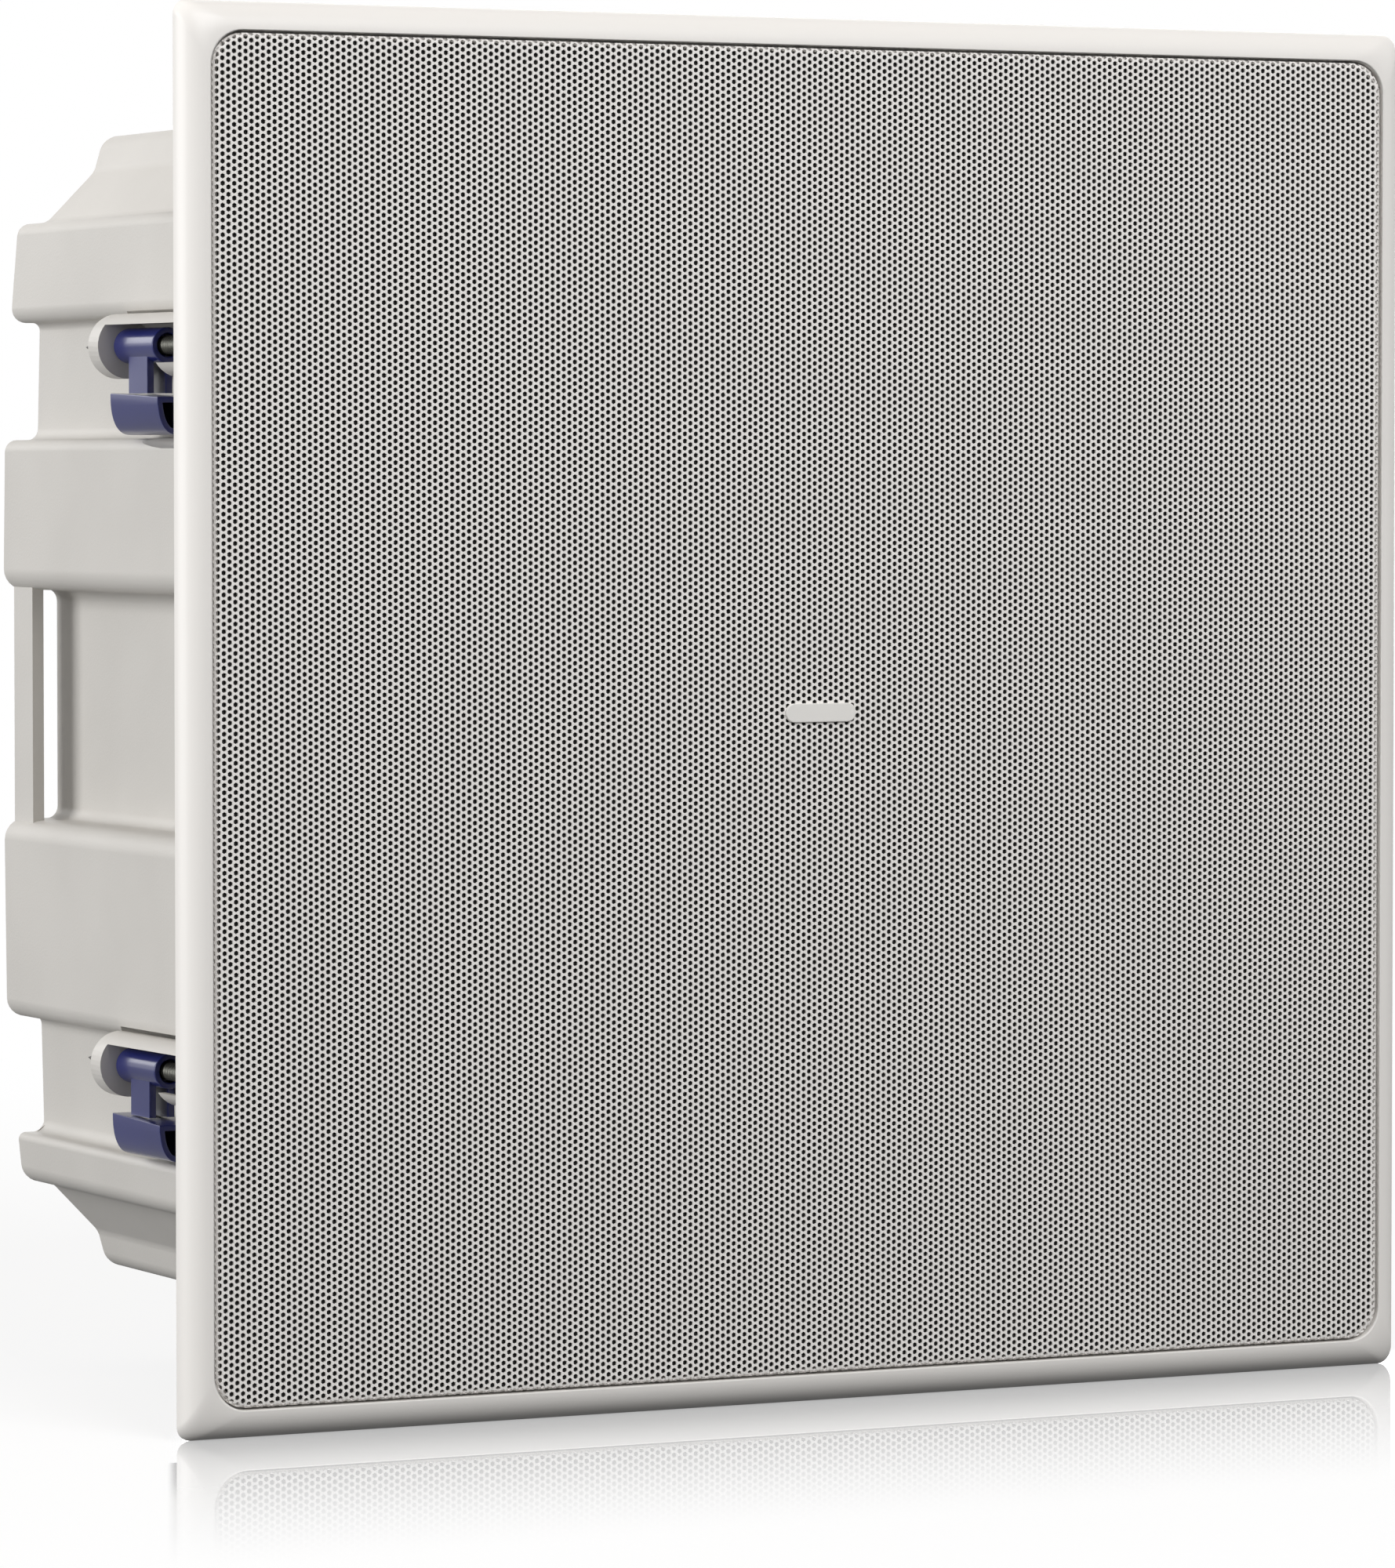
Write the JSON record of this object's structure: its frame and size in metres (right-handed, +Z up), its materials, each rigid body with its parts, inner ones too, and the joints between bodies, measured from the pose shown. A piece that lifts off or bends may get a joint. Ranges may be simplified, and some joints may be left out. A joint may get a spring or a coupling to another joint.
{
  "type": "ceiling speaker",
  "caption": "Flush-mounted loudspeaker with a square perforated grille, a sealed moulded back box and swing-out clamps that grip the board round its cut-out.",
  "frame": {"origin": "middle of the bezel's rear face, where the axis of the cut-out meets the face of the board", "axes": "+Y points back into the board, so the grille faces -Y; +Z is up in the picture and +X is to the right seen from the front"},
  "size_m": [0.394, 0.1798, 0.394],
  "materials": {
    "frame": "fine-textured white ABS",
    "grille": "white powder-coated perforated steel",
    "cloth": "thin black acoustic cloth",
    "badge": "satin",
    "magnet": "nickel-plated",
    "clamp": "glossy dark blue nylon",
    "clamp_screw": "black zinc",
    "box": "fine-textured light grey ABS",
    "bar": "light grey ABS",
    "seal": "closed-cell foam",
    "screw": "zinc-plated",
    "basket": "black paint",
    "cone": "black polypropylene",
    "surround": "butyl rubber",
    "spider": "resin-dipped cotton",
    "former": "polyimide film",
    "copper": "enamelled copper wire",
    "pole": "zinc-plated",
    "ferrite": "ferrite",
    "tweeter": "black ABS",
    "dome": "coated silk",
    "tag": "tinned brass",
    "board": "green solder mask",
    "capacitor": "polyester film",
    "terminal": "black nylon",
    "lead_red": "PVC sleeve",
    "lead_black": "PVC sleeve",
    "wadding": "polyester wadding"
  },
  "bodies": {
    "speaker": {"front_frame": "frame", "grille": "grille", "grille_cloth": "cloth", "grille_badge": "badge", "grille_magnets": "magnet", "back_box": "box", "box_seal": "seal", "box_screws": "screw", "side_bar_left": "bar", "side_bar_right": "bar", "driver_gasket": "seal", "driver_basket": "basket", "driver_screws": "screw", "surround": "surround", "spider": "spider", "top_plate": "pole", "magnet_ring": "ferrite", "pole_piece": "pole", "tweeter_body": "tweeter", "tweeter_horn": "tweeter", "tweeter_dome": "dome", "driver_tags": "tag", "crossover_board": "board", "crossover_coils": "copper", "crossover_capacitors": "capacitor", "crossover_screws": "screw", "terminal_block": "terminal", "terminal_screws": "screw", "driver_leads": "lead_red", "input_leads": "lead_black", "wadding": "wadding"},
    "upper_left_clamp": {"clamp_dog_upper_left": "clamp"},
    "lower_left_clamp": {"clamp_dog_lower_left": "clamp"},
    "upper_right_clamp": {"clamp_dog_upper_right": "clamp"},
    "lower_right_clamp": {"clamp_dog_lower_right": "clamp"},
    "upper_left_screw": {"clamp_screw_upper_left": "clamp_screw"},
    "lower_left_screw": {"clamp_screw_lower_left": "clamp_screw"},
    "upper_right_screw": {"clamp_screw_upper_right": "clamp_screw"},
    "lower_right_screw": {"clamp_screw_lower_right": "clamp_screw"},
    "moving_cone": {"cone": "cone", "coil_former": "former", "voice_coil": "copper"}
  },
  "joints": [
    {"name": "upper_left_swing", "type": "hinge", "parent": "speaker", "child": "upper_left_clamp", "pos_m": [-0.176, 0.06, 0.1038], "axis": [0, 1, 0], "range_deg": [0, 100]},
    {"name": "lower_left_swing", "type": "hinge", "parent": "speaker", "child": "lower_left_clamp", "pos_m": [-0.176, 0.06, -0.0997], "axis": [0, 1, 0], "range_deg": [0, 100]},
    {"name": "upper_right_swing", "type": "hinge", "parent": "speaker", "child": "upper_right_clamp", "pos_m": [0.176, 0.06, 0.0997], "axis": [0, 1, 0], "range_deg": [0, 100]},
    {"name": "lower_right_swing", "type": "hinge", "parent": "speaker", "child": "lower_right_clamp", "pos_m": [0.176, 0.06, -0.1038], "axis": [0, 1, 0], "range_deg": [0, 100]},
    {"name": "upper_left_screw_turn", "type": "hinge", "parent": "speaker", "child": "upper_left_screw", "pos_m": [-0.176, 0.06, 0.1038], "axis": [0, 1, 0], "continuous": true},
    {"name": "lower_left_screw_turn", "type": "hinge", "parent": "speaker", "child": "lower_left_screw", "pos_m": [-0.176, 0.06, -0.0997], "axis": [0, 1, 0], "continuous": true},
    {"name": "upper_right_screw_turn", "type": "hinge", "parent": "speaker", "child": "upper_right_screw", "pos_m": [0.176, 0.06, 0.0997], "axis": [0, 1, 0], "continuous": true},
    {"name": "lower_right_screw_turn", "type": "hinge", "parent": "speaker", "child": "lower_right_screw", "pos_m": [0.176, 0.06, -0.1038], "axis": [0, 1, 0], "continuous": true},
    {"name": "cone_travel", "type": "slide", "parent": "speaker", "child": "moving_cone", "axis": [0, 1, 0], "range_m": [-0.004, 0.004], "stiffness_N_per_m": 2500, "deforming": ["surround", "spider"]}
  ]
}
